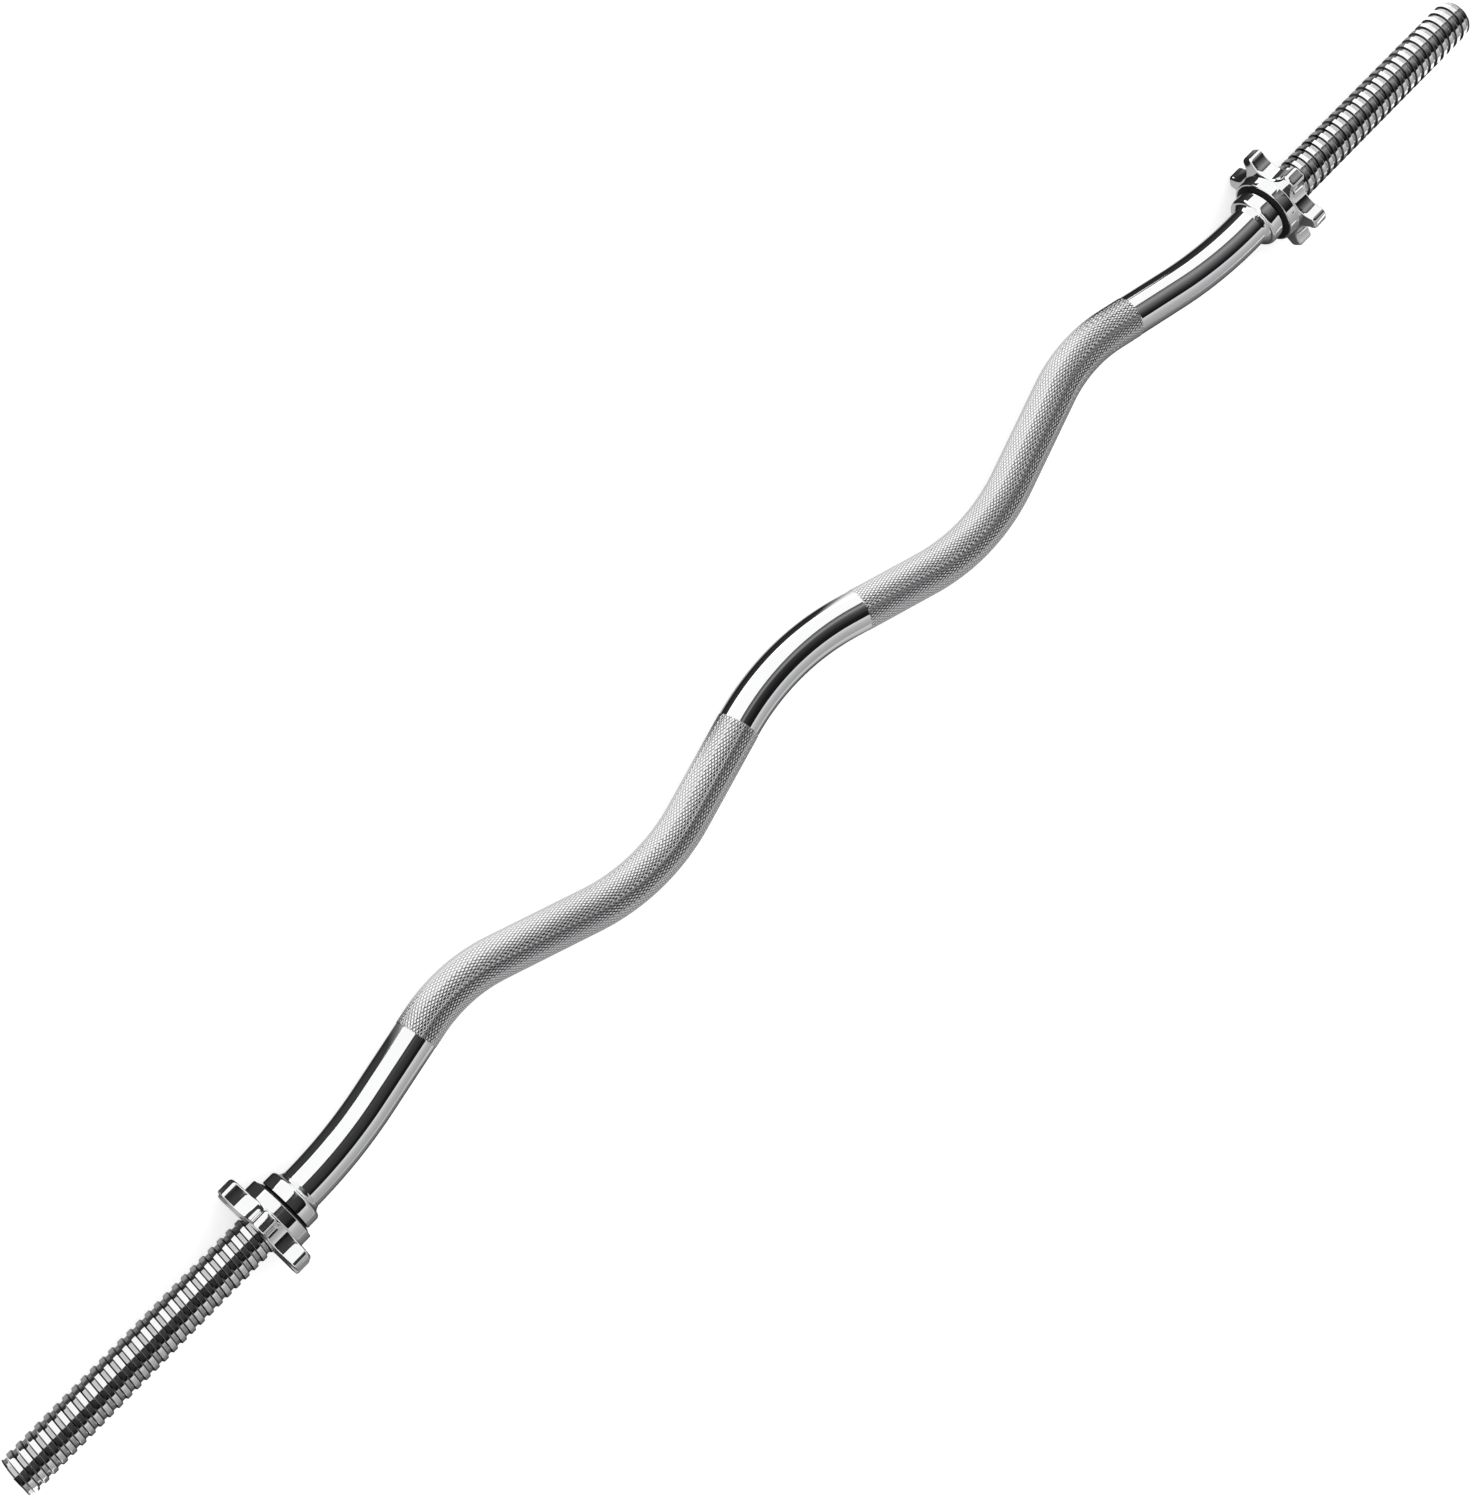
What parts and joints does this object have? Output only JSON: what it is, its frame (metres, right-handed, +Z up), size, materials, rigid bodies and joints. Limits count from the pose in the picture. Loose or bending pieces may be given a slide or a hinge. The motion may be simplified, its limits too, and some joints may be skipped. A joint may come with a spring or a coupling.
{
  "type": "ez curl bar",
  "caption": "Cranked steel curl bar, chromed, with knurled hand grips, threaded ends, welded inner collars and star nuts faced with rubber rings.",
  "frame": {"origin": "on the plane that the star nuts rest on, below the middle of the bar and on the line of its threaded ends", "axes": "+X along the threaded ends toward the right end, +Z up, and the bends lie flat in the XY plane with the middle bend bulging toward +Y"},
  "size_m": [1.2, 0.0654, 0.0639],
  "materials": {
    "bar_chrome": "bright chrome plate over steel, knurled on the grips and threaded at the ends",
    "collar_chrome": "bright chrome plate over a turned steel collar",
    "weld_chrome": "smooth dressed weld under bright chrome plate",
    "nut_chrome": "bright chrome plate over a cast star nut",
    "ring_rubber": "matt black rubber"
  },
  "bodies": {
    "bar_body": {"bar": "bar_chrome", "left_inner_collar": "collar_chrome", "left_collar_weld": "weld_chrome", "right_inner_collar": "collar_chrome", "right_collar_weld": "weld_chrome"},
    "left_ring_body": {"left_rubber_ring": "ring_rubber"},
    "left_nut_body": {"left_star_nut": "nut_chrome"},
    "right_ring_body": {"right_rubber_ring": "ring_rubber"},
    "right_nut_body": {"right_star_nut": "nut_chrome"}
  },
  "joints": [
    {"name": "left_nut_travel", "type": "slide", "parent": "bar_body", "child": "left_ring_body", "axis": [-1, 0, 0], "range_m": [0, 0.1627]},
    {"name": "left_nut_spin", "type": "hinge", "parent": "left_ring_body", "child": "left_nut_body", "pos_m": [-0.4151, 0, 0.03195], "axis": [1, 0, 0], "range_deg": [0, 9000]},
    {"name": "right_nut_travel", "type": "slide", "parent": "bar_body", "child": "right_ring_body", "axis": [1, 0, 0], "range_m": [0, 0.1627]},
    {"name": "right_nut_spin", "type": "hinge", "parent": "right_ring_body", "child": "right_nut_body", "pos_m": [0.4201, 0, 0.03195], "axis": [-1, 0, 0], "range_deg": [0, 9000]}
  ],
  "couplings": [
    {"joint": "left_nut_travel", "follows": "left_nut_spin", "m_per_rad": 0.0010345},
    {"joint": "right_nut_travel", "follows": "right_nut_spin", "m_per_rad": 0.0010345}
  ]
}
